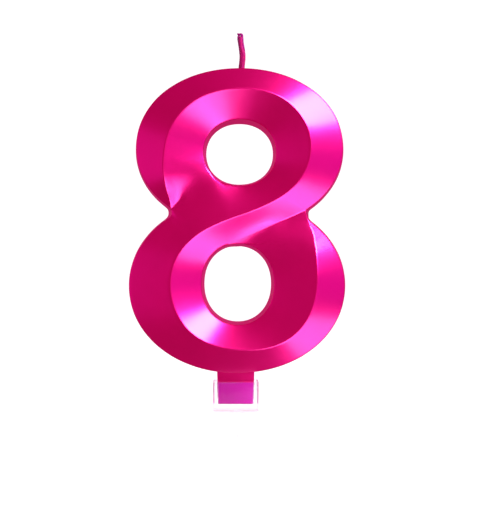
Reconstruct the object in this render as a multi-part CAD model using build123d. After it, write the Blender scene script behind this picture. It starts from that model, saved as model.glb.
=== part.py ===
"""Number birthday candle: a moulded wax figure eight on a stub, its wick, and a clear push-in holder.

Frame: millimetres, X to the right, Y into the depth, Z up.  The faceted front looks along -Y.
The origin is the middle of the holder cup's underside, where the cup sits on the cake.
"""
from build123d import *
import math
import os

# ---- numeral, overall ----
numeral_height = 80.0
numeral_width = 57.1
lobe_overlap = 8.36  # height that the two lobes share at the waist
upper_height_share = 0.4784  # the upper lobe's part of the two lobe heights added up
upper_lobe_width = 54.8
upper_lobe_shift = 1.0  # the upper lobe leans this far to the right of the stub
lower_lobe_shift = 0.3
upper_lobe_fullness = 2.08  # exponent of the lobe's outline: 2 is an ellipse, more is squarer
lower_lobe_fullness = 2.045
notch_radius = 1.8

# ---- holes of the eight ----
hole_width = 17.4
upper_hole_height = 15.8
lower_hole_height = 19.7
upper_hole_drop = 1.3  # below the middle of its lobe
lower_hole_lift = 0.55
hole_fullness = 2.12

# ---- relief ----
edge_thickness = 6.5
ridge_thickness = 11.0
wall_draft = 0.65  # how far the moulded walls lean in between the back and the front edge

# ---- stub ----
stub_length = 7.4
stub_width = 9.66  # at its root; its depth there is the edge thickness
stub_side_draft = 0.3  # how far each side leans in over the stub's length
stub_face_draft = 0.2
stub_corner = 0.4
stub_root = 2.5  # how far the stub is carried up inside the lobe

# ---- wick ----
wick_diameter = 1.7
wick_fit = 0.03
wick_free = 8.9
wick_shift = 0.58  # from the middle of the upper lobe
wick_floor = 4.0  # wax left between the wick's buried end and the hole
wick_bend = 0.32

# ---- holder ----
cup_height = 7.7
cup_wall = 1.0
cup_floor = 2.0
cup_fit = 0.15
cup_corner = 0.9
cup_foot_round = 0.4
spike_length = 20.0
spike_width = 3.8
spike_shoulder = 6.5
spike_narrow_width = 2.4
spike_tip_length = 5.0
spike_waist = 0.36  # half width where the tip begins, as a share of the narrow width
spike_tip_width = 0.5
spike_rib = 1.0
spike_cross_depth = 3.0

# ---- what follows from the sizes above ----
back_y = edge_thickness / 2
numeral_bottom = cup_floor + stub_length
lobe_heights = numeral_height + lobe_overlap
upper_lobe_height = lobe_heights * upper_height_share
lower_lobe_height = lobe_heights - upper_lobe_height
numeral_top = numeral_bottom + numeral_height

upper_lobe = {
    "x": upper_lobe_shift,
    "z": numeral_top - upper_lobe_height / 2,
    "half_width": upper_lobe_width / 2,
    "half_height": upper_lobe_height / 2,
    "fullness": upper_lobe_fullness,
}
lower_lobe = {
    "x": lower_lobe_shift,
    "z": numeral_bottom + lower_lobe_height / 2,
    "half_width": numeral_width / 2,
    "half_height": lower_lobe_height / 2,
    "fullness": lower_lobe_fullness,
}
upper_hole = {
    "x": upper_lobe["x"],
    "z": upper_lobe["z"] - upper_hole_drop,
    "half_width": hole_width / 2,
    "half_height": upper_hole_height / 2,
    "fullness": hole_fullness,
}
lower_hole = {
    "x": lower_lobe["x"] + 0.2,
    "z": lower_lobe["z"] + lower_hole_lift,
    "half_width": hole_width / 2,
    "half_height": lower_hole_height / 2,
    "fullness": hole_fullness,
}

# The ridge is one line in the form of an S.  Each station gives the lobe, the angle about it, how far
# the ridge lies from the hole's edge (0) towards the outline (1), and how much of the rise it has there.
# The lists run over the upper lobe clockwise, from the left notch, and over the lower one anticlockwise.
upper_ridge = [
    (216, 0.865, 0.30), (211, 0.80, 0.50), (206, 0.74, 0.68), (200, 0.68, 0.84), (192, 0.62, 0.96),
    (182, 0.57, 1), (168, 0.54, 1), (150, 0.535, 1), (130, 0.55, 1), (110, 0.555, 1), (90, 0.56, 1),
    (70, 0.565, 1), (50, 0.56, 1), (30, 0.53, 1), (15, 0.515, 1), (0, 0.505, 1), (-15, 0.495, 1),
    (-30, 0.497, 1), (-42, 0.506, 1), (-50, 0.52, 1), (-60, 0.547, 1), (-71, 0.595, 1), (-82, 0.665, 1),
]
lower_ridge = [
    (97, 0.555, 1), (108, 0.49, 1), (120, 0.457, 1), (130, 0.443, 1), (137, 0.438, 1), (148, 0.433, 1),
    (162, 0.425, 1), (178, 0.417, 1), (195, 0.42, 1), (210, 0.437, 1), (225, 0.46, 1), (240, 0.468, 1),
    (255, 0.466, 1), (270, 0.48, 1), (285, 0.52, 1), (300, 0.572, 1), (315, 0.60, 1), (330, 0.597, 1),
    (345, 0.583, 1), (358, 0.587, 1), (368, 0.61, 0.97), (376, 0.65, 0.86), (382, 0.70, 0.74),
    (386, 0.745, 0.62), (389.5, 0.785, 0.52), (392, 0.83, 0.43), (394.5, 0.865, 0.34),
    (397, 0.905, 0.25), (399.5, 0.94, 0.15),
]
# Where the straight valleys, which start in the notches, run out on the holes' edges.
upper_valley_angle = 210
lower_valley_angle = 105
# Angles about the holes at which the facets' rulings from the ridge come down, valley to valley.
upper_hole_angles = [197, 183, 167, 149, 130, 110, 90, 70, 50, 30, 15, 0, -18, -37, -54, -69, -86, -105, -127]
lower_hole_angles = [115, 124, 132, 139, 149, 162, 178, 195, 210, 225, 240, 255, 270, 285, 300, 315, 330,
                     345, 360, 372, 385, 403, 430]
# The outlines leave off where the notches' arcs take over.
upper_outline_end = -40
lower_outline_start = 140
left_valley_steps = 3
right_valley_steps = 4
left_valley_share = 0.3  # where the valleys start on the notches' arcs, counted from the upper lobe
right_valley_share = 0.2


def at(x, z, thickness):
    """The point (x, z) of the front view, this far in front of the flat back."""
    return Vector(x, back_y - thickness, z)


def on_oval(oval, degrees, grow):
    """The point of an oval, grown by this much, that lies in a direction from its middle."""
    angle = math.radians(degrees)
    wide = abs(math.cos(angle)) / (oval["half_width"] + grow)
    high = abs(math.sin(angle)) / (oval["half_height"] + grow)
    radius = (wide ** oval["fullness"] + high ** oval["fullness"]) ** (-1 / oval["fullness"])
    return oval["x"] + radius * math.cos(angle), oval["z"] + radius * math.sin(angle)


def oval_side(oval, z, side, grow):
    """The x of a grown oval's left (-1) or right (+1) side at a height."""
    level = min(1.0, abs(z - oval["z"]) / (oval["half_height"] + grow))
    half = (oval["half_width"] + grow) * (1 - level ** oval["fullness"]) ** (1 / oval["fullness"])
    return oval["x"] + side * half


def notch_arc(side, grow, valley_share):
    """A notch's arc: its end on the upper lobe, the start of the valley, and its end on the lower lobe."""
    reach = notch_radius + grow
    low = lower_lobe["z"]
    high = upper_lobe["z"]
    while high - low > 1e-9:
        z = (low + high) / 2
        upper_further = (oval_side(upper_lobe, z, side, reach) - oval_side(lower_lobe, z, side, reach)) * side
        if upper_further > 0:
            high = z
        else:
            low = z
    x = oval_side(upper_lobe, z, side, reach)
    directions = []
    for oval in (upper_lobe, lower_lobe):
        across = (x - oval["x"]) / (oval["half_width"] + reach)
        along = (z - oval["z"]) / (oval["half_height"] + reach)
        power = oval["fullness"] - 1
        normal_x = math.copysign(abs(across) ** power, across) / (oval["half_width"] + reach)
        normal_z = math.copysign(abs(along) ** power, along) / (oval["half_height"] + reach)
        directions.append(math.atan2(-normal_z, -normal_x))
    turn = (directions[1] - directions[0] + math.pi) % (2 * math.pi) - math.pi
    angles = [directions[0], directions[0] + turn * valley_share, directions[1]]
    return [(x + notch_radius * math.cos(a), z + notch_radius * math.sin(a)) for a in angles]


def rail(points):
    """Cubic pieces from point to point, each as near an arc as it can be, smooth where they meet."""
    directions = []
    for before, here, after in zip(points, points[1:], points[2:]):
        back = here - before
        on = after - here
        directions.append((back / back.length ** 2 + on / on.length ** 2).normalized())
    chords = [(b - a).normalized() for a, b in zip(points, points[1:])]
    if directions:
        first = chords[0] * (2 * chords[0].dot(directions[0])) - directions[0]
        last = chords[-1] * (2 * chords[-1].dot(directions[-1])) - directions[-1]
    else:
        first = last = chords[0]
    directions = [first] + directions + [last]
    pieces = []
    for a, b, start, end in zip(points, points[1:], directions, directions[1:]):
        turn = math.radians(start.get_angle(end))
        share = 1 / 3 if turn < 1e-4 else 2 / 3 * math.tan(turn / 4) / math.sin(turn / 2)
        handle = (b - a).length * share
        pieces.append(Edge.make_bezier(a, a + start * handle, b - end * handle, b))
    return pieces


def straight(start, end, steps):
    points = [start + (end - start) * (i / steps) for i in range(steps + 1)]
    return [Edge.make_line(a, b) for a, b in zip(points, points[1:])]


def outline_rails(thickness, draft):
    """The outline's and the holes' pieces at one level; those of the front and the back match one to one."""
    right = notch_arc(1, -draft, right_valley_share)
    left = notch_arc(-1, -draft, left_valley_share)
    upper_angles = [angle for angle, share, rise in upper_ridge if angle > upper_outline_end]
    lower_angles = [angle for angle, share, rise in lower_ridge if angle > lower_outline_start]
    upper_hole_ring = [upper_valley_angle] + upper_hole_angles + [upper_valley_angle - 360]
    lower_hole_ring = [lower_valley_angle] + lower_hole_angles + [lower_valley_angle + 360]
    routes = {
        "upper": [left[0]] + [on_oval(upper_lobe, a, -draft) for a in upper_angles] + [right[0]],
        "lower": [left[2]] + [on_oval(lower_lobe, a, -draft) for a in lower_angles] + [right[2]],
        "left_notch": left,
        "right_notch": right,
        "upper_hole": [on_oval(upper_hole, a, draft) for a in upper_hole_ring],
        "lower_hole": [on_oval(lower_hole, a, draft) for a in lower_hole_ring],
    }
    return {name: rail([at(x, z, thickness) for x, z in route]) for name, route in routes.items()}


def ridge_point(lobe, hole, station):
    angle, share, rise = station
    inner_x, inner_z = on_oval(hole, angle, wall_draft)
    outer_x, outer_z = on_oval(lobe, angle, -wall_draft)
    x = inner_x + (outer_x - inner_x) * share
    z = inner_z + (outer_z - inner_z) * share
    return at(x, z, edge_thickness + (ridge_thickness - edge_thickness) * rise)


def numeral_shell():
    """The eight without its stub: facets ruled from the ridge to the edges, drafted walls and a flat back."""
    front = outline_rails(edge_thickness, wall_draft)
    back = outline_rails(0, 0)
    left_end = front["upper"][0] @ 0
    right_end = front["lower"][-1] @ 1
    left_valley = [front["left_notch"][0] @ 1, front["upper_hole"][0] @ 0]
    right_valley = [front["right_notch"][0] @ 1, front["lower_hole"][0] @ 0]

    upper_points = [ridge_point(upper_lobe, upper_hole, station) for station in upper_ridge]
    lower_points = [ridge_point(lower_lobe, lower_hole, station) for station in lower_ridge]
    ridge = rail([left_end] + upper_points + lower_points + [right_end])
    # On one side the ridge looks down on the upper outline, the right valley and the lower hole.
    right_side = (
        front["upper"]
        + front["right_notch"][:1]
        + straight(right_valley[0], right_valley[1], right_valley_steps)
        + front["lower_hole"]
        + straight(right_valley[1], right_valley[0], right_valley_steps)
        + front["right_notch"][1:]
    )
    # On the other it looks down on the left valley, the upper hole and the lower outline.
    left_side = (
        front["left_notch"][:1]
        + straight(left_valley[0], left_valley[1], left_valley_steps)
        + front["upper_hole"]
        + straight(left_valley[1], left_valley[0], left_valley_steps)
        + front["left_notch"][1:]
        + front["lower"]
    )
    if not len(ridge) == len(right_side) == len(left_side):
        raise ValueError(f"stations differ: {len(ridge)} {len(right_side)} {len(left_side)}")

    faces = []
    for crest, right_low, left_low in zip(ridge, right_side, left_side):
        faces.append(Face.make_surface_from_curves(crest, right_low))
        faces.append(Face.make_surface_from_curves(crest, left_low))
    for name, pieces in front.items():
        for front_piece, back_piece in zip(pieces, back[name]):
            faces.append(Face.make_surface_from_curves(front_piece, back_piece))
    outline = Wire(back["upper"] + back["right_notch"] + back["lower"] + back["left_notch"])
    faces.append(Face(outline, [Wire(back["upper_hole"]), Wire(back["lower_hole"])]))
    return Solid(Shell(faces))


def block(sizes, corner):
    """A block through rectangles, each given as (width, depth, z), with rounded upright corners."""
    sections = [Plane.XY.offset(z) * RectangleRounded(width, depth, corner) for width, depth, z in sizes]
    return loft(sections, ruled=True)


def stub_size(z):
    """The stub's width and depth at a height; inside the lobe it no longer widens."""
    share = min(1.0, (z - cup_floor) / stub_length)
    return stub_width - 2 * stub_side_draft * (1 - share), edge_thickness - 2 * stub_face_draft * (1 - share)


def wick_route():
    """The wick's corners: upright in the wax, then a slight lean to the right and back again."""
    x = upper_lobe["x"] + wick_shift
    bottom = upper_hole["z"] + upper_hole["half_height"] + wall_draft + wick_floor
    return [
        Vector(x, 0, bottom),
        Vector(x, 0, numeral_top + 0.07 * wick_free),
        Vector(x + wick_bend, 0, numeral_top + 0.36 * wick_free),
        Vector(x - wick_bend / 2, 0, numeral_top + 0.72 * wick_free),
        Vector(x - wick_bend * 0.8, 0, numeral_top + wick_free),
    ]


def numeral():
    stub_levels = (cup_floor, numeral_bottom, numeral_bottom + stub_root)
    stub = block([(*stub_size(z), z) for z in stub_levels], stub_corner)
    route = wick_route()
    bore_length = numeral_top + 1 - route[0].Z
    bore = Cylinder(wick_diameter / 2 + wick_fit, bore_length, align=(Align.CENTER, Align.CENTER, Align.MIN))
    return numeral_shell() + stub - Pos(route[0]) * bore


def wick():
    route = wick_route()
    radii = []
    for before, here, after in zip(route, route[1:], route[2:]):
        runs = (here - before, after - here)
        turn = math.radians(runs[0].get_angle(runs[1]))
        radii.append(0.45 * min(run.length for run in runs) / math.tan(turn / 2))
    path = FilletPolyline(*route, radius=radii)
    section = Plane(route[0], z_dir=(0, 0, 1)) * Circle(wick_diameter / 2)
    return sweep(section, path=path)


def blade(top_width, narrow_width, thickness):
    """One of the spike's two crossed blades: broad below the cup, then narrowing to the tip."""
    taper_start = spike_length - spike_tip_length
    half_profile = [
        (top_width / 2, 0),
        (top_width / 2, -spike_shoulder),
        (narrow_width / 2, -spike_shoulder - (top_width - narrow_width) / 2),
        (narrow_width * spike_waist, -taper_start),
        (spike_tip_width / 2, -spike_length),
    ]
    outline = half_profile + [(-x, z) for x, z in reversed(half_profile)]
    profile = Plane.XZ * make_face(Polyline(*outline, close=True))
    return extrude(profile, thickness / 2, both=True)


def holder():
    rim_width, rim_depth = [size + 2 * cup_fit for size in stub_size(cup_height)]
    floor_width, floor_depth = [size + 2 * cup_fit for size in stub_size(cup_floor)]
    outline = RectangleRounded(rim_width + 2 * cup_wall, rim_depth + 2 * cup_wall, cup_corner)
    cup = extrude(outline, cup_height)
    cup = fillet(cup.edges().group_by(Axis.Z)[0], cup_foot_round)
    pocket = block([(floor_width, floor_depth, cup_floor), (rim_width, rim_depth, cup_height)], stub_corner)
    front_blade = blade(spike_width, spike_narrow_width, spike_rib)
    side_blade = Rot(0, 0, 90) * blade(spike_cross_depth, spike_narrow_width, spike_rib)
    return cup - pocket + front_blade + side_blade


os.makedirs("parts", exist_ok=True)
for name, make in (("numeral", numeral), ("wick", wick), ("holder", holder)):
    export_step(make(), f"parts/{name}.step")
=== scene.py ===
import math

import bmesh
import bpy
import numpy as np
from bpy.props import FloatProperty, FloatVectorProperty, PointerProperty
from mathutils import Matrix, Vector, kdtree, noise
from mathutils.bvhtree import BVHTree


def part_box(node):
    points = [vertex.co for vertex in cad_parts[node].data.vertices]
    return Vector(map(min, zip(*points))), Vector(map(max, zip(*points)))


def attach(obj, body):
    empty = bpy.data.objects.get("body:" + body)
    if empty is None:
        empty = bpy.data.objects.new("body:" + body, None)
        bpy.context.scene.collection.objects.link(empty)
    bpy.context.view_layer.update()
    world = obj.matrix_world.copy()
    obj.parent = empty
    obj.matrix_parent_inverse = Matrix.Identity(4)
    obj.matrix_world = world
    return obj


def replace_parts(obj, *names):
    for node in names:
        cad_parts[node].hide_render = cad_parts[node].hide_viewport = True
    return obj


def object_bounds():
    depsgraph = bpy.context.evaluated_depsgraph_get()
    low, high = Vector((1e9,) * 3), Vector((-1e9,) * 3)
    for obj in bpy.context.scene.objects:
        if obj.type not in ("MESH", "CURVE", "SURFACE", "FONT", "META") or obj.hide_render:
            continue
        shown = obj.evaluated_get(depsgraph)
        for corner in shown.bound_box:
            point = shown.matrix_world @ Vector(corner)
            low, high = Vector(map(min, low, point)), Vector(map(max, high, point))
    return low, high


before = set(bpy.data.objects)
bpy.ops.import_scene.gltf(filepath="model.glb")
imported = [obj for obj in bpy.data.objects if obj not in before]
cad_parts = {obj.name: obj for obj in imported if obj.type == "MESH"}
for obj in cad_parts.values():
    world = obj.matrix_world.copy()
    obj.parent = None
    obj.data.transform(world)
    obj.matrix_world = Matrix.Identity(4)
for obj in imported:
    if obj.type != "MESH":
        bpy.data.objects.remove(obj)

bl_info = {
    "name": "Number Candle",
    "version": (1, 0, 0),
    "blender": (4, 5, 0),
    "location": "3D View > Sidebar > Candle",
    "description": "Builds a lacquered wax number candle, its braided wick and its clear holder",
    "category": "Add Mesh",
}

MM = 0.001
CAD_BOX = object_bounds()

# ---- what the frame says ----
NUMERAL_LOW, NUMERAL_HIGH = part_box("numeral")
WICK_LOW, WICK_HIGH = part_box("wick")
BACK_Y = NUMERAL_HIGH.y
NUMERAL_TOP = NUMERAL_HIGH.z
STUB_BOTTOM = NUMERAL_LOW.z

# ---- the numeral's own sizes ----
NUMERAL_HEIGHT = 80.0 * MM
NUMERAL_WIDTH = 57.1 * MM
NUMERAL_BOTTOM = NUMERAL_TOP - NUMERAL_HEIGHT
LOBE_OVERLAP = 8.36 * MM  # height that the two lobes share at the waist
UPPER_HEIGHT_SHARE = 0.4784  # the upper lobe's part of the two lobe heights added up
LOBE_HEIGHTS = NUMERAL_HEIGHT + LOBE_OVERLAP
UPPER_LOBE_HEIGHT = LOBE_HEIGHTS * UPPER_HEIGHT_SHARE
LOWER_LOBE_HEIGHT = LOBE_HEIGHTS - UPPER_LOBE_HEIGHT
UPPER_LOBE_WIDTH = 54.8 * MM
UPPER_LOBE_SHIFT = 1.0 * MM
LOWER_LOBE_SHIFT = 0.3 * MM
UPPER_FULLNESS = 2.08  # exponent of an outline: 2 is an ellipse, more is squarer
LOWER_FULLNESS = 2.045
HOLE_FULLNESS = 2.12
HOLE_WIDTH = 17.4 * MM
UPPER_HOLE_HEIGHT = 15.8 * MM
LOWER_HOLE_HEIGHT = 19.7 * MM
UPPER_HOLE_DROP = 1.3 * MM  # below the middle of its lobe
LOWER_HOLE_LIFT = 0.55 * MM
LOWER_HOLE_SHIFT = 0.5 * MM
NOTCH_RADIUS = 1.8 * MM
EDGE_THICKNESS = 6.5 * MM
RIDGE_THICKNESS = 11.0 * MM
WALL_DRAFT = 0.65 * MM
STUB_WIDTH = 9.66 * MM
STUB_SIDE_DRAFT = 0.3 * MM
STUB_FACE_DRAFT = 0.2 * MM
STUB_ROOT = 2.5 * MM  # how far the stub is carried up inside the lobe
STUB_CORNER = 0.4 * MM
STUB_END_ROUND = 0.35 * MM


def oval(x, z, width, height, fullness):
    """A rounded outline, by its middle, its half sizes and how full its corners are."""
    return {"x": x, "z": z, "half_width": width / 2, "half_height": height / 2, "fullness": fullness}


UPPER_LOBE_Z = NUMERAL_TOP - UPPER_LOBE_HEIGHT / 2
LOWER_LOBE_Z = NUMERAL_BOTTOM + LOWER_LOBE_HEIGHT / 2
UPPER_HOLE_Z = UPPER_LOBE_Z - UPPER_HOLE_DROP
LOWER_HOLE_Z = LOWER_LOBE_Z + LOWER_HOLE_LIFT
UPPER_LOBE = oval(UPPER_LOBE_SHIFT, UPPER_LOBE_Z, UPPER_LOBE_WIDTH, UPPER_LOBE_HEIGHT, UPPER_FULLNESS)
LOWER_LOBE = oval(LOWER_LOBE_SHIFT, LOWER_LOBE_Z, NUMERAL_WIDTH, LOWER_LOBE_HEIGHT, LOWER_FULLNESS)
UPPER_HOLE = oval(UPPER_LOBE_SHIFT, UPPER_HOLE_Z, HOLE_WIDTH, UPPER_HOLE_HEIGHT, HOLE_FULLNESS)
LOWER_HOLE = oval(LOWER_HOLE_SHIFT, LOWER_HOLE_Z, HOLE_WIDTH, LOWER_HOLE_HEIGHT, HOLE_FULLNESS)

# The S of the ridge: angle about its lobe, place between hole (0) and outline (1), share of the rise.
UPPER_RIDGE = [
    (216, 0.865, 0.30), (211, 0.80, 0.50), (206, 0.74, 0.68), (200, 0.68, 0.84), (192, 0.62, 0.96),
    (182, 0.57, 1), (168, 0.54, 1), (150, 0.535, 1), (130, 0.55, 1), (110, 0.555, 1), (90, 0.56, 1),
    (70, 0.565, 1), (50, 0.56, 1), (30, 0.53, 1), (15, 0.515, 1), (0, 0.505, 1), (-15, 0.495, 1),
    (-30, 0.497, 1), (-42, 0.506, 1), (-50, 0.52, 1), (-60, 0.547, 1), (-71, 0.595, 1), (-82, 0.665, 1),
]
LOWER_RIDGE = [
    (97, 0.555, 1), (108, 0.49, 1), (120, 0.457, 1), (130, 0.443, 1), (137, 0.438, 1), (148, 0.433, 1),
    (162, 0.425, 1), (178, 0.417, 1), (195, 0.42, 1), (210, 0.437, 1), (225, 0.46, 1), (240, 0.468, 1),
    (255, 0.466, 1), (270, 0.48, 1), (285, 0.52, 1), (300, 0.572, 1), (315, 0.60, 1), (330, 0.597, 1),
    (345, 0.583, 1), (358, 0.587, 1), (368, 0.61, 0.97), (376, 0.65, 0.86), (382, 0.70, 0.74),
    (386, 0.745, 0.62), (389.5, 0.785, 0.52), (392, 0.83, 0.43), (394.5, 0.865, 0.34),
    (397, 0.905, 0.25), (399.5, 0.94, 0.15),
]
# Where each valley meets its hole, and the points of the holes' edges after that, in degrees.
UPPER_VALLEY_ANGLE = 210
LOWER_VALLEY_ANGLE = 105
UPPER_HOLE_ANGLES = [197, 183, 167, 149, 130, 110, 90, 70, 50, 30, 15, 0, -18, -37, -54, -69, -86, -105, -127]
LOWER_HOLE_ANGLES = [115, 124, 132, 139, 149, 162, 178, 195, 210, 225, 240, 255, 270, 285, 300, 315, 330,
                     345, 360, 372, 385, 403, 430]
# The lobes' outlines take the ridge's angles as far as these.
UPPER_OUTLINE_END = -40
LOWER_OUTLINE_START = 140
LEFT_VALLEY_STEPS = 3
RIGHT_VALLEY_STEPS = 4
LEFT_VALLEY_SHARE = 0.3  # how far round the notch's arc its valley starts
RIGHT_VALLEY_SHARE = 0.2

# ---- how the cage is divided and softened ----
CAGE_STEPS = 3  # columns of the mesh for each piece of a rail
SMOOTH_LEVELS = 2
WIDEST_ROUND = 0.28  # a rounding row lies no further in than this share of a facet
INNER_ROWS = (0.34, 0.67)  # the two rows between the rounding rows
BACK_ROUNDS = 3  # the rounding of the back's middle line, in edge roundings
TINY = 1e-6 * MM
ROOT_ACCURACY = 1e-9 * MM
STRAIGHT = 1e-4  # radians: a piece that turns less than this is a straight line
WELD = 0.002 * MM
SLIVER = 0.001 * MM
SMOOTH_ANGLE = 19  # degrees: facets that meet more sharply than this stay crisp

# ---- the cast's melted valleys and slow waves ----
# Lines along which the facets melt into each other, in mm: x and z of both ends, how far to the sides they
# are all soft, and from where nothing changes.
VALLEY_MELTS = [
    (-11.8, 57.6, -6.3, 62.8, 2.0, 6.0),
    (-15.2, 60.6, -8.0, 62.6, 1.5, 4.5),
    (-6.0, 61.5, -1.5, 52.5, 2.5, 6.5),
    (7.0, 46.2, -2.0, 42.6, 0.5, 8.0),
    (4.0, 43.6, 15.5, 43.5, 0.5, 3.5),
    (-15.4, 50.0, -12.8, 46.8, 0.4, 2.4),
]
CREST_CLEAR = 0.8 * MM  # nearer to the ridge than this nothing melts
CREST_FREE = 4.5 * MM  # and from here on the ridge holds nothing back
CREST_PARTS = 4  # points between two of the crest's, to measure from
FRONT_SHARE = 0.75  # nearer to the back than this share of the edge thickness nothing melts
MAP_CELL = 0.25  # mm
MAP_REACH = (-30.0, 31.0, 30.0, 77.0)  # mm: lowest and highest x, lowest and highest z
MAP_SPREAD = 1.7  # mm
MAP_FALL = 0.3  # how steeply the map goes on falling beyond an edge
RAY_START = -100 * MM  # well in front of the candle
FACING = 0.7  # least part of a surface's normal that looks to the front or the back
LONG_WAVE = 7 * MM
SHORT_WAVE = 3.2 * MM
SHORT_WAVE_SHARE = 0.5
SHORT_WAVE_SHIFT = Vector((9, 4, 2))  # keeps the two waves from peaking together

# ---- the wick ----
WICK_STEPS = 6
# Its middle: how far to the side in mm, and how far up its free length.
WICK_MARKS = [(-0.04, -0.14), (-0.03, 0.02), (0.10, 0.15), (0.19, 0.30), (0.14, 0.42), (-0.04, 0.56),
              (-0.27, 0.72), (-0.38, 0.86), (-0.38, 1.0)]
# Each strand: its direction at the foot in degrees, radius in mm, material slot, and how far under the tip it
# ends in mm. The two in slot 1 are dark plum and start at the wick's right and left sides. From the front
# they paint the shade of its edges, and they are also dark strands of its own.
WICK_STRANDS = [(0, 0.40, 1, 0.55), (-85, 0.46, 0, 0.95), (95, 0.44, 0, 0.7), (175, 0.40, 1, 0.9)]
# Where the two dark strands go after that, in mm from their last point.
WICK_CURLS = {3: [(-0.08, -0.05, 0.25), (-0.22, -0.1, 0.42)],
              0: [(-0.12, -0.1, 0.2), (-0.6, -0.15, 0.22), (-1.2, -0.1, 0.4)]}
STRAND_SIDES = 14
STRAND_TIP = 0.55  # the radius at a strand's end, as a share of the one before it
CURL_STEPS = 5
CURL_TAPER = 0.45  # how much of its radius a curl loses on its way
LUMP_LENGTH = 0.9 * MM
LUMP_DEPTH = 0.14  # of a strand's radius
LUMP_SHIFT = 7.3  # keeps the strands' lumps apart
WICK_TWIST = 6  # degrees for each mm of height
WICK_UNTWIST = 50  # degrees that the strands turn back between the next two heights
UNTWIST_FROM = NUMERAL_TOP + 2.6 * MM
UNTWIST_TO = NUMERAL_TOP + 5.6 * MM
WAX_SKIN_SIDES = 22
WAX_SKIN_END = UNTWIST_TO - 0.6 * MM
WAX_SKIN_FADE = 2.2 * MM
WAX_SKIN_TIP = 0.72  # the share of its radius that it fades to

# ---- the holder ----
HOLDER_WELD = 0.0005 * MM
HOLDER_FLAT = 1.5  # degrees: faces that turn less than this are one face
MOULD_RADIUS = 0.06 * MM
MOULD_EDGE = 35  # degrees: edges that turn more than this get the mould's radius


def linear(colour):
    """An sRGB hex colour, such as "E0127A", as the linear RGBA that a shader takes."""
    channels = [int(colour[i:i + 2], 16) / 255 for i in (0, 2, 4)]
    return [c / 12.92 if c <= 0.04045 else ((c + 0.055) / 1.055) ** 2.4 for c in channels] + [1.0]


# ---------------------------------------------------------------- settings

class CandleSettings(bpy.types.PropertyGroup):
    lacquer_colour: FloatVectorProperty(
        name="Lacquer", description="Pink of the metallic lacquer", subtype="COLOR", size=4,
        min=0, max=1, default=linear("CE006C"))
    # The stub below the cup's rim gets a paler, bluer pink. It is painted in for the cup's pale reflection
    # over the stub and the dimmer light that reaches the stub through the cup.
    painted_cup_veil_colour: FloatVectorProperty(
        name="Pressed lacquer", description="Thin, rubbed lacquer on the stub inside the cup",
        subtype="COLOR", size=4, min=0, max=1, default=linear("B4188E"))
    in_cup_height: FloatProperty(
        name="Pressed height", description="Up to where the cup's walls have rubbed the lacquer",
        unit="LENGTH", min=0.0, default=7.6 * MM)
    wick_colour: FloatVectorProperty(
        name="Wick", description="Dyed wax on the wick", subtype="COLOR", size=4,
        min=0, max=1, default=linear("88084A"))
    ridge_round: FloatProperty(
        name="Ridge rounding", description="How far from the ridge the facets start to turn over it",
        unit="LENGTH", min=0.0, default=0.45 * MM)
    edge_round: FloatProperty(
        name="Edge rounding", description="How far from the moulded edges the surfaces start to turn",
        unit="LENGTH", min=0.0, default=0.35 * MM)
    valley_round: FloatProperty(
        name="Valley rounding", description="How far from the two valleys the facets start to turn",
        unit="LENGTH", min=0.0, default=0.7 * MM)
    waviness: FloatProperty(
        name="Waviness", description="Height of the cast wax's slow waves", unit="LENGTH",
        min=0.0, default=0.035 * MM)
    # Dark plum of the two strands along the wick's left and right sides: partly the strands' own colour,
    # partly painted shade on the wick's edges.
    wick_dark_and_edge_shade: FloatVectorProperty(
        name="Wick, dark strands", description="Singed, plum-coloured strands", subtype="COLOR", size=4,
        min=0, max=1, default=linear("720A50"))
    strand_reach: FloatProperty(
        name="Strand reach", description="From the wick's middle to each strand's middle", unit="LENGTH",
        min=0.0, default=0.40 * MM)
    wick_skin: FloatProperty(
        name="Wax skin", description="Radius of the smooth waxed foot of the wick", unit="LENGTH",
        min=0.0, default=0.80 * MM)


# ---------------------------------------------------------------- shape helpers

def on_oval(shape, degrees, grow=0.0):
    """The point (x, z) of an oval, grown by this much, that lies in a direction from its middle."""
    angle = math.radians(degrees)
    wide = abs(math.cos(angle)) / (shape["half_width"] + grow)
    high = abs(math.sin(angle)) / (shape["half_height"] + grow)
    radius = (wide ** shape["fullness"] + high ** shape["fullness"]) ** (-1 / shape["fullness"])
    return shape["x"] + radius * math.cos(angle), shape["z"] + radius * math.sin(angle)


def oval_side(shape, z, side, grow):
    """The x of a grown oval's left (-1) or right (+1) side at a height."""
    level = min(1.0, abs(z - shape["z"]) / (shape["half_height"] + grow))
    half = (shape["half_width"] + grow) * (1 - level ** shape["fullness"]) ** (1 / shape["fullness"])
    return shape["x"] + side * half


def notch_arc(side, grow, valley_share):
    """A notch's arc: its end on the upper lobe, the start of the valley, and its end on the lower lobe."""
    reach = NOTCH_RADIUS + grow
    low, high = LOWER_LOBE["z"], UPPER_LOBE["z"]
    while high - low > ROOT_ACCURACY:
        z = (low + high) / 2
        if (oval_side(UPPER_LOBE, z, side, reach) - oval_side(LOWER_LOBE, z, side, reach)) * side > 0:
            high = z
        else:
            low = z
    x = oval_side(UPPER_LOBE, z, side, reach)
    directions = []
    for shape in (UPPER_LOBE, LOWER_LOBE):
        across = (x - shape["x"]) / (shape["half_width"] + reach)
        along = (z - shape["z"]) / (shape["half_height"] + reach)
        power = shape["fullness"] - 1
        normal_x = math.copysign(abs(across) ** power, across) / (shape["half_width"] + reach)
        normal_z = math.copysign(abs(along) ** power, along) / (shape["half_height"] + reach)
        directions.append(math.atan2(-normal_z, -normal_x))
    turn = (directions[1] - directions[0] + math.pi) % (2 * math.pi) - math.pi
    angles = [directions[0], directions[0] + turn * valley_share, directions[1]]
    return [(x + NOTCH_RADIUS * math.cos(a), z + NOTCH_RADIUS * math.sin(a)) for a in angles]


def at(x, z, thickness):
    """The point (x, z) of the front view, this far in front of the numeral's flat back."""
    return Vector((x, BACK_Y - thickness, z))


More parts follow.
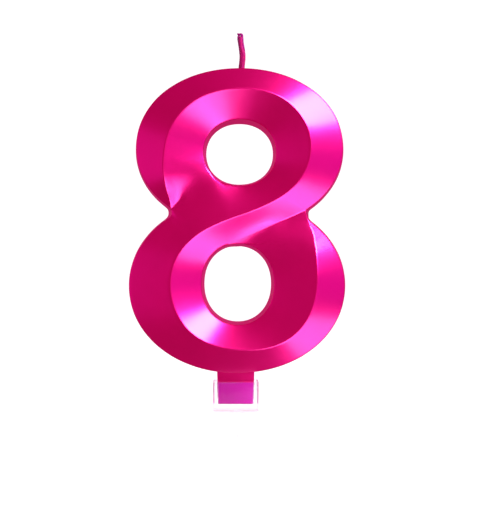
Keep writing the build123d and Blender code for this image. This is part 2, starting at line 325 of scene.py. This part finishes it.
def rail(points, steps=CAGE_STEPS):
    """Points along a smooth line through the given ones, this many to a piece; one list for each piece."""
    chords = [b - a for a, b in zip(points, points[1:])]
    middle = [(a / a.length_squared + b / b.length_squared).normalized() for a, b in zip(chords, chords[1:])]
    if not middle:
        return [[points[0].lerp(points[1], i / steps) for i in range(steps + 1)]]
    ends = []
    for chord, direction in ((chords[0], middle[0]), (chords[-1], middle[-1])):
        unit = chord.normalized()
        ends.append(unit * (2 * unit.dot(direction)) - direction)
    directions = [ends[0]] + middle + [ends[1]]
    pieces = []
    for a, b, start, end in zip(points, points[1:], directions, directions[1:]):
        turn = start.angle(end)
        share = 1 / 3 if turn < STRAIGHT else 2 / 3 * math.tan(turn / 4) / math.sin(turn / 2)
        handle = (b - a).length * share
        near, far = a + start * handle, b - end * handle
        piece = []
        for i in range(steps + 1):
            t = i / steps
            s = 1 - t
            piece.append(a * s ** 3 + near * (3 * s * s * t) + far * (3 * s * t * t) + b * t ** 3)
        pieces.append(piece)
    return pieces


def straight(start, end, count):
    """A straight line as this many pieces, divided as rail divides them."""
    marks = [start.lerp(end, i / count) for i in range(count + 1)]
    return [[a.lerp(b, i / CAGE_STEPS) for i in range(CAGE_STEPS + 1)] for a, b in zip(marks, marks[1:])]


def outline_rails(thickness, draft):
    """The outline's and the holes' pieces at one level; those of the front and the back match one to one."""
    right = notch_arc(1, -draft, RIGHT_VALLEY_SHARE)
    left = notch_arc(-1, -draft, LEFT_VALLEY_SHARE)
    upper_angles = [angle for angle, share, rise in UPPER_RIDGE if angle > UPPER_OUTLINE_END]
    lower_angles = [angle for angle, share, rise in LOWER_RIDGE if angle > LOWER_OUTLINE_START]
    upper_ring = [UPPER_VALLEY_ANGLE] + UPPER_HOLE_ANGLES + [UPPER_VALLEY_ANGLE - 360]
    lower_ring = [LOWER_VALLEY_ANGLE] + LOWER_HOLE_ANGLES + [LOWER_VALLEY_ANGLE + 360]
    routes = {
        "upper": [left[0]] + [on_oval(UPPER_LOBE, a, -draft) for a in upper_angles] + [right[0]],
        "lower": [left[2]] + [on_oval(LOWER_LOBE, a, -draft) for a in lower_angles] + [right[2]],
        "left_notch": left,
        "right_notch": right,
        "upper_hole": [on_oval(UPPER_HOLE, a, draft) for a in upper_ring],
        "lower_hole": [on_oval(LOWER_HOLE, a, draft) for a in lower_ring],
    }
    return {name: rail([at(x, z, thickness) for x, z in route]) for name, route in routes.items()}


def sides_of(level):
    """The low lines on the two sides of the S at one level, and where each valley is in them."""
    left_valley = straight(level["left_notch"][0][-1], level["upper_hole"][0][0], LEFT_VALLEY_STEPS)
    right_valley = straight(level["right_notch"][0][-1], level["lower_hole"][0][0], RIGHT_VALLEY_STEPS)

    def back_again(pieces):
        return [piece[::-1] for piece in pieces[::-1]]

    right_side = [
        (level["upper"], False), (level["right_notch"][:1], False), (right_valley, True),
        (level["lower_hole"], False), (back_again(right_valley), True), (level["right_notch"][1:], False),
    ]
    left_side = [
        (level["left_notch"][:1], False), (left_valley, True), (level["upper_hole"], False),
        (back_again(left_valley), True), (level["left_notch"][1:], False), (level["lower"], False),
    ]
    return [[(piece, deep) for pieces, deep in side for piece in pieces] for side in (right_side, left_side)]


def ridge_rail(rise):
    """The S itself, lifted by this much above the edges' level, or lying in the back when rise is None."""
    points = []
    upper, lower = (UPPER_LOBE, UPPER_HOLE, UPPER_RIDGE), (LOWER_LOBE, LOWER_HOLE, LOWER_RIDGE)
    for lobe, hole, stations in (upper, lower):
        for angle, share, height in stations:
            inner = Vector(on_oval(hole, angle, WALL_DRAFT))
            x, z = inner.lerp(Vector(on_oval(lobe, angle, -WALL_DRAFT)), share)
            points.append(at(x, z, 0 if rise is None else EDGE_THICKNESS + rise * height))
    draft, level = (0, 0) if rise is None else (WALL_DRAFT, EDGE_THICKNESS)
    first = notch_arc(-1, -draft, LEFT_VALLEY_SHARE)[0]
    last = notch_arc(1, -draft, RIGHT_VALLEY_SHARE)[2]
    return rail([at(*first, level)] + points + [at(*last, level)])


def rows_between(a, b, near, far):
    """Points from a to b: the two ends, one a set distance inside each end, and two between them."""
    width = (b - a).length
    if width < TINY:
        return [a.copy() for _ in range(4 + len(INNER_ROWS))]
    first = min(WIDEST_ROUND, near / width)
    last = 1 - min(WIDEST_ROUND, far / width)
    inner = [first + (last - first) * share for share in INNER_ROWS]
    return [a.lerp(b, share) for share in (0, first, *inner, last, 1)]


def add_strip(bm, columns):
    """Faces between neighbouring columns of points."""
    rows = [[bm.verts.new(point) for point in column] for column in columns]
    for left, right in zip(rows, rows[1:]):
        for a, b, c, d in zip(left, right, right[1:], left[1:]):
            bm.faces.new((a, b, c, d))


def object_from(bm, name, material):
    """A smoothly shaded object in the scene, with the mesh and one material."""
    mesh = bpy.data.meshes.new(name)
    bm.to_mesh(mesh)
    bm.free()
    for polygon in mesh.polygons:
        polygon.use_smooth = True
    mesh.materials.append(material)
    piece = bpy.data.objects.new(name, mesh)
    bpy.context.scene.collection.objects.link(piece)
    return piece


def apply_modifiers(piece):
    """Replaces the piece's mesh with what its modifiers make of it."""
    graph = bpy.context.evaluated_depsgraph_get()
    mesh = bpy.data.meshes.new_from_object(piece.evaluated_get(graph))
    piece.modifiers.clear()
    old = piece.data
    piece.data = mesh
    bpy.data.meshes.remove(old)


# ---------------------------------------------------------------- materials

# The Mix node's sockets for colours, which share their names with those for numbers.
MIX_A, MIX_B, MIX_RESULT = 6, 7, 2


def node(tree, kind, settings=None, links=None, **attributes):
    """Adds a node with its attributes, input values and links from other nodes' outputs."""
    made = tree.nodes.new(kind)
    for key, value in attributes.items():
        setattr(made, key, value)
    for key, value in (settings or {}).items():
        made.inputs[key].default_value = value
    for key, (other, output) in (links or {}).items():
        tree.links.new(other.outputs[output], made.inputs[key])
    return made


def new_material(name):
    material = bpy.data.materials.new(name)
    material.use_nodes = True
    material.node_tree.nodes.clear()
    return material, material.node_tree


def per_mm(size):
    """The texture scale that makes one feature this many millimetres across, in object coordinates."""
    return 1 / (size * MM)


def darker(colour, share):
    """The colour with this share of its light."""
    return [channel * share for channel in colour[:3]] + [1.0]


def finish_material(material, tree, shader):
    node(tree, "ShaderNodeOutputMaterial", links={"Surface": (shader, "BSDF")})
    return material


def pearl_lacquer(settings):
    """Sprayed pearl lacquer on cast paraffin wax: a metallic satin pink whose mica flakes spread each
    highlight wide and turn it lilac, with the wax's soft unevenness under it."""
    material, tree = new_material("pearl_lacquer_on_cast_wax")
    place = node(tree, "ShaderNodeTexCoord")
    cloud = node(tree, "ShaderNodeTexNoise", {"Scale": per_mm(9), "Detail": 2.0, "Roughness": 0.5},
                 {"Vector": (place, "Object")})
    flakes = node(tree, "ShaderNodeTexNoise", {"Scale": per_mm(0.35), "Detail": 2.0, "Roughness": 0.6},
                  {"Vector": (place, "Object")})
    coat = node(tree, "ShaderNodeMix",
                {MIX_A: darker(settings.lacquer_colour, 0.86), MIX_B: settings.lacquer_colour[:]},
                {"Factor": (cloud, "Fac")}, data_type="RGBA")
    grain = node(tree, "ShaderNodeMapRange",
                 {"From Min": 0.3, "From Max": 0.7, "To Min": 0.30, "To Max": 0.36},
                 {"Value": (flakes, "Fac")})
    peel = node(tree, "ShaderNodeTexNoise", {"Scale": per_mm(1.6), "Detail": 1.0, "Roughness": 0.4},
                {"Vector": (place, "Object")})
    waves = node(tree, "ShaderNodeBump", {"Strength": 0.25, "Distance": 0.03 * MM},
                 {"Height": (peel, "Fac")})
    bumps = node(tree, "ShaderNodeBump", {"Strength": 0.15, "Distance": 0.01 * MM},
                 {"Height": (flakes, "Fac"), "Normal": (waves, "Normal")})
    height = node(tree, "ShaderNodeSeparateXYZ", None, {"Vector": (place, "Object")})
    # Below the cup's rim the colour is painted: the cup's pale reflection and the dimmer light through it.
    # The coat is also thinner there.
    in_cup = node(tree, "ShaderNodeMath", {1: settings.in_cup_height}, {0: (height, "Z")},
                   operation="LESS_THAN")
    skin = node(tree, "ShaderNodeMix", {MIX_B: settings.painted_cup_veil_colour[:]},
                {"Factor": (in_cup, "Value"), MIX_A: (coat, MIX_RESULT)}, data_type="RGBA")
    gloss = node(tree, "ShaderNodeMapRange", {"To Min": 0.5, "To Max": 0.1}, {"Value": (in_cup, "Value")})
    shader = node(
        tree, "ShaderNodeBsdfPrincipled",
        {"Metallic": 0.9, "IOR": 1.45, "Coat Roughness": 0.22, "Coat IOR": 1.48},
        {"Base Color": (skin, MIX_RESULT), "Coat Weight": (gloss, "Result"),
         "Roughness": (grain, "Result"), "Normal": (bumps, "Normal")})
    return finish_material(material, tree, shader)


def waxed_cotton(name, colour):
    """Braided cotton dipped in dyed wax: fibres still show as fine lines under a soft, greasy shine."""
    material, tree = new_material(name)
    place = node(tree, "ShaderNodeTexCoord")
    fibre_place = node(tree, "ShaderNodeMapping", {"Scale": (1.0, 1.0, 0.25)},
                       {"Vector": (place, "Object")})
    fibres = node(tree, "ShaderNodeTexNoise", {"Scale": per_mm(0.22), "Detail": 3.0},
                  {"Vector": (fibre_place, "Vector")})
    tone = node(tree, "ShaderNodeMix", {MIX_A: darker(colour, 0.55), MIX_B: colour[:]},
                {"Factor": (fibres, "Fac")}, data_type="RGBA")
    bump = node(tree, "ShaderNodeBump", {"Strength": 0.5, "Distance": 0.05 * MM},
                {"Height": (fibres, "Fac")})
    shader = node(
        tree, "ShaderNodeBsdfPrincipled",
        {"Roughness": 0.5, "IOR": 1.44, "Specular IOR Level": 0.35, "Specular Tint": linear("E06AA8"),
         "Subsurface Weight": 0.15, "Subsurface Scale": 0.3 * MM},
        {"Base Color": (tone, MIX_RESULT), "Normal": (bump, "Normal")})
    return finish_material(material, tree, shader)


def clear_polystyrene():
    """Injection-moulded clear polystyrene: nearly colourless and glossy, with the slightest haze."""
    material, tree = new_material("moulded_clear_polystyrene")
    place = node(tree, "ShaderNodeTexCoord")
    flow = node(tree, "ShaderNodeTexNoise", {"Scale": per_mm(2.5), "Detail": 1.0},
                {"Vector": (place, "Object")})
    haze = node(tree, "ShaderNodeMapRange", {"To Min": 0.02, "To Max": 0.07}, {"Value": (flow, "Fac")})
    bump = node(tree, "ShaderNodeBump", {"Strength": 0.1, "Distance": 0.02 * MM},
                {"Height": (flow, "Fac")})
    shader = node(
        tree, "ShaderNodeBsdfPrincipled",
        {"Base Color": linear("FBFCFE"), "IOR": 1.59, "Transmission Weight": 1.0, "Alpha": 0.5},
        {"Roughness": (haze, "Result"), "Normal": (bump, "Normal")})
    return finish_material(material, tree, shader)


def matt_paper(name, base, light, strength):
    """Matt uncoated paper: one even, soft tone with a faint tooth. Its own light stands for the room's."""
    material, tree = new_material(name)
    place = node(tree, "ShaderNodeTexCoord")
    tooth = node(tree, "ShaderNodeTexNoise", {"Scale": per_mm(1.2), "Detail": 2.0},
                 {"Vector": (place, "Object")})
    bump = node(tree, "ShaderNodeBump", {"Strength": 0.05, "Distance": 0.02 * MM},
                {"Height": (tooth, "Fac")})
    shader = node(
        tree, "ShaderNodeBsdfPrincipled",
        {"Base Color": linear(base), "Roughness": 0.9, "IOR": 1.5,
         "Emission Color": linear(light), "Emission Strength": strength},
        {"Normal": (bump, "Normal")})
    return finish_material(material, tree, shader)


# ---------------------------------------------------------------- pieces

def numeral_cage(settings):
    """The eight's quads: facets, drafted walls and flat back, with rows close to each edge that round it."""
    bm = bmesh.new()
    front, back = outline_rails(EDGE_THICKNESS, WALL_DRAFT), outline_rails(0, 0)
    crest, spine = ridge_rail(RIDGE_THICKNESS - EDGE_THICKNESS), ridge_rail(None)
    edge = settings.edge_round
    front_half = (crest, sides_of(front), settings.ridge_round)
    back_half = (spine, sides_of(back), BACK_ROUNDS * edge)
    for top, sides, crest_round in (front_half, back_half):
        for low_line in sides:
            if len(low_line) != len(top):
                raise ValueError(f"the ridge has {len(top)} pieces and its low line {len(low_line)}")
            softness = [settings.valley_round if deep else edge for piece, deep in low_line]
            ends = [edge] + [max(pair) for pair in zip(softness, softness[1:])] + [edge]
            for high_piece, (low_piece, deep), start, end in zip(top, low_line, ends, ends[1:]):
                rounds = [start + (end - start) * i / CAGE_STEPS for i in range(CAGE_STEPS + 1)]
                add_strip(bm, [rows_between(a, b, crest_round, far)
                               for a, b, far in zip(high_piece, low_piece, rounds)])
    for name, pieces in front.items():
        for front_piece, back_piece in zip(pieces, back[name]):
            add_strip(bm, [rows_between(a, b, edge, edge) for a, b in zip(front_piece, back_piece)])
    bmesh.ops.remove_doubles(bm, verts=bm.verts, dist=WELD)
    bmesh.ops.dissolve_degenerate(bm, edges=bm.edges, dist=SLIVER)
    bmesh.ops.recalc_face_normals(bm, faces=bm.faces)
    return bm


def rounded_rectangle(width, depth, corner, z, segments=4):
    """The corners of a rounded rectangle about the upright axis, at a height."""
    points = []
    for quarter, (side, face) in enumerate(((1, 1), (-1, 1), (-1, -1), (1, -1))):
        for i in range(segments + 1):
            angle = math.radians(90 * (quarter + i / segments))
            x = side * (width / 2 - corner) + corner * math.cos(angle)
            y = face * (depth / 2 - corner) + corner * math.sin(angle)
            points.append(Vector((x, y, z)))
    return points


def stack(bm, rings):
    """A closed body through rings of equally many points, capped at both ends."""
    rows = [[bm.verts.new(point) for point in ring] for ring in rings]
    for low, high in zip(rows, rows[1:]):
        for i in range(len(low)):
            j = (i + 1) % len(low)
            bm.faces.new((low[i], low[j], high[j], high[i]))
    bm.faces.new(rows[0][::-1])
    bm.faces.new(rows[-1])


def stub_block():
    """The stub as moulded: leaning sides, rounded uprights and a softly rounded lower end."""
    bm = bmesh.new()
    turns = [math.radians(degrees) for degrees in range(0, 91, 15)]
    heights = [STUB_BOTTOM + STUB_END_ROUND * (1 - math.cos(turn)) for turn in turns]
    insets = [STUB_END_ROUND * (1 - math.sin(turn)) for turn in turns]
    heights += [NUMERAL_BOTTOM, NUMERAL_BOTTOM + STUB_ROOT]
    insets += [0, 0]
    rings = []
    for z, inset in zip(heights, insets):
        share = min(1.0, (z - STUB_BOTTOM) / (NUMERAL_BOTTOM - STUB_BOTTOM))
        width = STUB_WIDTH - 2 * STUB_SIDE_DRAFT * (1 - share) - 2 * inset
        depth = EDGE_THICKNESS - 2 * STUB_FACE_DRAFT * (1 - share) - 2 * inset
        rings.append(rounded_rectangle(width, depth, STUB_CORNER, z))
    stack(bm, rings)
    return bm


def smooth_step(value, low, high):
    """0 below low and 1 above high, with a soft start and end between them."""
    share = min(1.0, max(0.0, (value - low) / (high - low)))
    return share * share * (3 - 2 * share)


def melt_share(place):
    """How far the facets are melted together at a place of the front view, from 0 to 1."""
    most = 0.0
    for x1, z1, x2, z2, inner, outer in VALLEY_MELTS:
        start, end = Vector((x1 * MM, 0, z1 * MM)), Vector((x2 * MM, 0, z2 * MM))
        share = min(1.0, max(0.0, (place - start).dot(end - start) / (end - start).length_squared))
        aside = (place - start.lerp(end, share)).length
        most = max(most, 1 - smooth_step(aside, inner * MM, outer * MM))
    return most


def thickness_map(mesh):
    """The numeral's thickness in mm over the front view, going on downhill beyond its edges."""
    surface = BVHTree.FromPolygons([v.co for v in mesh.vertices], [p.vertices for p in mesh.polygons])
    low_x, high_x, low_z, high_z = MAP_REACH
    columns = round((high_x - low_x) / MAP_CELL) + 1
    rows = round((high_z - low_z) / MAP_CELL) + 1
    thickness, known = np.zeros((columns, rows)), np.zeros((columns, rows))
    for i in range(columns):
        for j in range(rows):
            start = Vector(((low_x + i * MAP_CELL) * MM, RAY_START, (low_z + j * MAP_CELL) * MM))
            hit, normal, _, _ = surface.ray_cast(start, Vector((0, 1, 0)))
            if hit and abs(normal.y) > FACING:
                thickness[i, j] = max(EDGE_THICKNESS, BACK_Y - hit.y) / MM
                known[i, j] = 1
    for _ in range(round(3 * MAP_SPREAD / MAP_CELL)):
        total, count = np.zeros_like(known), np.zeros_like(known)
        for shift, axis in ((1, 0), (-1, 0), (1, 1), (-1, 1)):
            total += np.roll(thickness * known, shift, axis)
            count += np.roll(known, shift, axis)
        fresh = (known == 0) & (count > 0)
        thickness[fresh] = total[fresh] / count[fresh] - MAP_FALL * MAP_CELL
        known[fresh] = 1
    return thickness


def melt_valleys(body):
    """Melts the facets into each other along the valleys, where the cast follows a blurred thickness map."""
    crest = [point for piece in ridge_rail(RIDGE_THICKNESS - EDGE_THICKNESS) for point in piece]
    ridge = kdtree.KDTree(CREST_PARTS * len(crest))
    for i, (a, b) in enumerate(zip(crest, crest[1:] + crest[-1:])):
        for j in range(CREST_PARTS):
            point = a.lerp(b, j / CREST_PARTS)
            ridge.insert((point.x, 0, point.z), CREST_PARTS * i + j)
    ridge.balance()
    mesh = body.data
    sharp = thickness_map(mesh)
    soft = sharp.copy()
    for _ in range(round(2 * (MAP_SPREAD / MAP_CELL) ** 2)):
        soft[1:-1] = (soft[:-2] + 2 * soft[1:-1] + soft[2:]) / 4
        soft[:, 1:-1] = (soft[:, :-2] + 2 * soft[:, 1:-1] + soft[:, 2:]) / 4
    lift = (soft - sharp) * MM
    for vertex in mesh.vertices:
        place = Vector((vertex.co.x, 0, vertex.co.z))
        share = melt_share(place) * smooth_step(ridge.find(place)[2], CREST_CLEAR, CREST_FREE)
        if share == 0 or vertex.co.y > BACK_Y - FRONT_SHARE * EDGE_THICKNESS:
            continue
        u = (place.x / MM - MAP_REACH[0]) / MAP_CELL
        v = (place.z / MM - MAP_REACH[2]) / MAP_CELL
        i, j = int(u), int(v)
        u, v = u - i, v - j
        raised = ((lift[i, j] * (1 - v) + lift[i, j + 1] * v) * (1 - u)
                  + (lift[i + 1, j] * (1 - v) + lift[i + 1, j + 1] * v) * u)
        vertex.co.y -= share * raised


def cast_waves(body, height):
    """Sinks the surface by about this height in slow waves, as cooling wax does."""
    normals = [vertex.normal.copy() for vertex in body.data.vertices]
    for vertex, normal in zip(body.data.vertices, normals):
        wave = noise.noise(vertex.co / LONG_WAVE)
        wave += SHORT_WAVE_SHARE * noise.noise(vertex.co / SHORT_WAVE + SHORT_WAVE_SHIFT)
        vertex.co -= normal * height * (0.5 + 0.5 * wave)


def build_numeral(settings):
    """The eight with its stub, in one mesh."""
    material = pearl_lacquer(settings)
    body = object_from(numeral_cage(settings), "numeral_wax", material)
    subdivide = body.modifiers.new("round", "SUBSURF")
    subdivide.levels = subdivide.render_levels = SMOOTH_LEVELS
    apply_modifiers(body)
    melt_valleys(body)
    stub = object_from(stub_block(), "stub_cutter", material)
    union = body.modifiers.new("stub", "BOOLEAN")
    union.operation = "UNION"
    union.solver = "EXACT"
    union.object = stub
    apply_modifiers(body)
    bpy.data.objects.remove(stub)
    cast_waves(body, settings.waviness)
    for polygon in body.data.polygons:
        polygon.use_smooth = True
    body.data.set_sharp_from_angle(angle=math.radians(SMOOTH_ANGLE))
    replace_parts(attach(body, "candle"), "numeral")


def wick_line():
    """Points along the wick's middle, from inside the wax to its tip."""
    middle = (WICK_LOW.x + WICK_HIGH.x) / 2
    free = WICK_HIGH.z - NUMERAL_TOP
    points = [Vector((middle + aside * MM, 0, NUMERAL_TOP + share * free)) for aside, share in WICK_MARKS]
    pieces = rail(points, WICK_STEPS)
    return [point for piece in pieces for point in piece[:-1]] + [pieces[-1][-1]]


def tube(bm, line, radii, slot, sides):
    """A round tube along points, with its own radius at each and flat ends."""
    rings = []
    for i, point in enumerate(line):
        along = (line[min(i + 1, len(line) - 1)] - line[max(i - 1, 0)]).normalized()
        across = along.cross(Vector((0, 1, 0))).normalized()
        other = along.cross(across)
        turns = [2 * math.pi * k / sides for k in range(sides)]
        rings.append([point + (across * math.cos(t) + other * math.sin(t)) * radii[i] for t in turns])
    first = len(bm.faces)
    stack(bm, rings)
    bm.faces.ensure_lookup_table()
    for face in bm.faces[first:]:
        face.material_index = slot


def strand(number, line, reach):
    """One strand's points and its radius at each: it goes round the wick's middle and thins at its end."""
    start, radius, _, cut = WICK_STRANDS[number]
    course, radii = [], []
    for point in line:
        if point.z >= WICK_HIGH.z - cut * MM:
            continue
        back = WICK_UNTWIST * smooth_step(point.z, UNTWIST_FROM, UNTWIST_TO)
        turn = math.radians(start - back + WICK_TWIST * (point.z - NUMERAL_TOP) / MM)
        course.append(point + Vector((math.cos(turn), math.sin(turn), 0)) * reach)
        lump = noise.noise(Vector((number * LUMP_SHIFT, 0, point.z / LUMP_LENGTH)))
        radii.append(radius * MM * (1 + LUMP_DEPTH * lump))
    if number in WICK_CURLS:
        curl = [course[-1] + Vector(step) * MM for step in WICK_CURLS[number]]
        bend = rail([course[-1]] + curl, CURL_STEPS)
        more = [point for piece in bend for point in piece[1:]]
        course += more
        radii += [radii[-1] * (1 - CURL_TAPER * (i + 1) / len(more)) for i in range(len(more))]
    radii[-1] *= STRAND_TIP
    return course, radii


def build_wick(settings):
    """Strands that lie side by side with a slow twist, sunk in wax below and frayed above."""
    bm = bmesh.new()
    line = wick_line()
    for number, (_, _, slot, _) in enumerate(WICK_STRANDS):
        course, radii = strand(number, line, settings.strand_reach)
        tube(bm, course, radii, slot, STRAND_SIDES)
    foot = [point for point in line if point.z < WAX_SKIN_END]
    fade = [min(1.0, max(0.0, (UNTWIST_TO - point.z) / WAX_SKIN_FADE)) for point in foot]
    radii = [settings.wick_skin * (WAX_SKIN_TIP + (1 - WAX_SKIN_TIP) * share) for share in fade]
    tube(bm, foot, radii, 0, WAX_SKIN_SIDES)
    wick = object_from(bm, "wick_braid", waxed_cotton("waxed_braided_cotton", settings.wick_colour))
    # The dark plum strands along the sides: their own colour and painted shade on the wick's edges.
    wick.data.materials.append(waxed_cotton("plum_cotton_and_painted_edge_shade", settings.wick_dark_and_edge_shade))
    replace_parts(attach(wick, "candle"), "wick")


def build_holder():
    """The holder from its own solid, with the small radii that its mould leaves on its edges."""
    bm = bmesh.new()
    bm.from_mesh(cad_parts["holder"].data)
    bmesh.ops.remove_doubles(bm, verts=bm.verts, dist=HOLDER_WELD)
    bmesh.ops.dissolve_limit(bm, angle_limit=math.radians(HOLDER_FLAT), verts=bm.verts, edges=bm.edges)
    holder = object_from(bm, "clear_holder", clear_polystyrene())
    bevel = holder.modifiers.new("mould_radii", "BEVEL")
    bevel.width = MOULD_RADIUS
    bevel.segments = 2
    bevel.limit_method = "ANGLE"
    bevel.angle_limit = math.radians(MOULD_EDGE)
    bevel.harden_normals = True
    apply_modifiers(holder)
    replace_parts(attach(holder, "holder"), "holder")


# ---------------------------------------------------------------- stage

STAGE_MIDDLE = Vector((1.2 * MM, 0, 40 * MM))
LAMP_DISTANCE = 0.45
VIEW_DISTANCE = 0.32  # from the numeral's back
VIEW_MIDDLE = (1.10 * MM, 40.25 * MM)
# The floor is a wide shallow dish, so that no horizon shows from any side: radius and rise in metres.
FLOOR_PROFILE = [(0.001, 0), (0.3, 0), (0.7, 0.0), (1.1, 0.02), (1.4, 0.1), (1.65, 0.3), (1.8, 0.6),
                 (1.86, 1.1), (1.88, 1.9)]
FLOOR_SIDES = 96
FLOOR_GAP = 0.2 * MM  # below the spike's tip
CARD_Y = 0.28
CARD_HALF_WIDTH = 0.3
CARD_LOW, CARD_HIGH = -0.26, 0.34


def bearing(off_axis, round_axis):
    """A direction off the view axis (-Y) by one angle, turned about it from +X towards +Z by the other."""
    a, b = math.radians(off_axis), math.radians(round_axis)
    return Vector((math.sin(a) * math.cos(b), -math.cos(a), math.sin(a) * math.sin(b)))


def softbox(name, direction, size, power, colour):
    """A square softbox in a direction from the candle, turned to face it: size in metres, power in watts."""
    lamp = bpy.data.lights.new(name, "AREA")
    lamp.shape = "SQUARE"
    lamp.size = size
    lamp.energy = power
    lamp.color = linear(colour)[:3]
    stand = bpy.data.objects.new(name, lamp)
    stand.location = STAGE_MIDDLE + direction.normalized() * LAMP_DISTANCE
    stand.rotation_euler = (STAGE_MIDDLE - stand.location).to_track_quat("-Z", "Y").to_euler()
    bpy.context.scene.collection.objects.link(stand)


def set_camera(scene):
    """A camera that looks straight at the front, level with the candle's middle."""
    camera = bpy.data.cameras.new("camera")
    camera.sensor_width = 36
    camera.lens = 85.5
    camera.clip_start = 0.01
    eye = bpy.data.objects.new("camera", camera)
    eye.location = (VIEW_MIDDLE[0], BACK_Y - VIEW_DISTANCE, VIEW_MIDDLE[1])
    eye.rotation_euler = (math.radians(90), 0, 0)
    scene.collection.objects.link(eye)
    scene.camera = eye


def lay_floor():
    """A pale matt floor under the spike's tip, which rises into a backdrop on every side."""
    bm = bmesh.new()
    floor_z = CAD_BOX[0][2] - FLOOR_GAP
    turns = [2 * math.pi * k / FLOOR_SIDES for k in range(FLOOR_SIDES)]
    rings = []
    for radius, rise in FLOOR_PROFILE:
        points = [(radius * math.cos(turn), radius * math.sin(turn), floor_z + rise) for turn in turns]
        rings.append([bm.verts.new(point) for point in points])
    for inner, outer in zip(rings, rings[1:]):
        for i in range(len(inner)):
            j = (i + 1) % len(inner)
            bm.faces.new((inner[i], outer[i], outer[j], inner[j]))
    bm.faces.new(rings[0])
    floor = object_from(bm, "floor", matt_paper("matt_studio_paper", "8C8B8E", "F6F5F8", 0.95))
    floor.visible_glossy = False
    floor.visible_shadow = False


def hang_card():
    """A crimson card behind, seen only in reflections, which gives the steep side walls their depth."""
    bm = bmesh.new()
    corners = [(-1, CARD_LOW), (1, CARD_LOW), (1, CARD_HIGH), (-1, CARD_HIGH)]
    bm.faces.new([bm.verts.new((side * CARD_HALF_WIDTH, CARD_Y, z)) for side, z in corners])
    card = object_from(bm, "rear_card", matt_paper("matt_crimson_card", "200410", "C81874", 1.0))
    card.visible_camera = False
    card.visible_diffuse = False
    card.visible_transmission = False
    card.visible_shadow = False


def build_stage():
    """The camera, the floor, the softboxes and the soft pink light from all sides."""
    scene = bpy.context.scene
    scene.view_settings.view_transform = "Standard"
    set_camera(scene)
    lay_floor()
    softbox("key", bearing(60, 48), 0.22, 6.1, "F0F2FF")
    softbox("violet_right", bearing(62, 2), 0.30, 0.22, "9020FF")
    softbox("lilac_wide", bearing(68, -47), 0.28, 1.5, "E4E4FF")
    softbox("lilac_near", bearing(44, -62), 0.22, 1.15, "E6E8FF")
    softbox("left_fill", bearing(75, 180), 0.40, 0.40, "E060FF")
    hang_card()
    softbox("rear_right", Vector((0.6, 0.8, 0.5)), 0.3, 0.6, "FFD8EC")
    softbox("rear_left", Vector((-0.7, 0.7, 0.3)), 0.3, 0.4, "FFD8EC")
    world = bpy.data.worlds.new("studio")
    world.use_nodes = True
    sky = world.node_tree
    sky.nodes.clear()
    backdrop = node(sky, "ShaderNodeBackground", {"Color": linear("F22A9C"), "Strength": 0.60})
    node(sky, "ShaderNodeOutputWorld", links={"Surface": (backdrop, "Background")})
    scene.world = world


# ---------------------------------------------------------------- the add-on

class CANDLE_OT_numeral(bpy.types.Operator):
    """Build the lacquered wax numeral with its stub"""
    bl_idname = "candle.numeral"
    bl_label = "Wax numeral"

    def execute(self, context):
        build_numeral(context.scene.candle)
        return {"FINISHED"}


class CANDLE_OT_wick(bpy.types.Operator):
    """Build the laid-up, waxed wick"""
    bl_idname = "candle.wick"
    bl_label = "Wick"

    def execute(self, context):
        build_wick(context.scene.candle)
        return {"FINISHED"}


class CANDLE_OT_holder(bpy.types.Operator):
    """Build the clear holder with its cup and spike"""
    bl_idname = "candle.holder"
    bl_label = "Clear holder"

    def execute(self, context):
        build_holder()
        return {"FINISHED"}


class CANDLE_OT_stage(bpy.types.Operator):
    """Set up the pale floor, the soft lights and the camera"""
    bl_idname = "candle.stage"
    bl_label = "Stage"

    def execute(self, context):
        build_stage()
        return {"FINISHED"}


class CANDLE_PT_panel(bpy.types.Panel):
    bl_label = "Number Candle"
    bl_idname = "CANDLE_PT_panel"
    bl_space_type = "VIEW_3D"
    bl_region_type = "UI"
    bl_category = "Candle"

    def draw(self, context):
        settings = context.scene.candle
        for name in CandleSettings.__annotations__:
            self.layout.prop(settings, name)
        for operator in OPERATORS:
            self.layout.operator(operator.bl_idname)


OPERATORS = (CANDLE_OT_numeral, CANDLE_OT_wick, CANDLE_OT_holder, CANDLE_OT_stage)
CLASSES = (CandleSettings, *OPERATORS, CANDLE_PT_panel)


def register():
    for cls in CLASSES:
        bpy.utils.register_class(cls)
    bpy.types.Scene.candle = PointerProperty(type=CandleSettings)


def unregister():
    del bpy.types.Scene.candle
    for cls in reversed(CLASSES):
        bpy.utils.unregister_class(cls)


def main():
    register()
    bpy.ops.candle.stage()
    bpy.ops.candle.numeral()
    bpy.ops.candle.wick()
    bpy.ops.candle.holder()


if __name__ == "__main__":
    main()
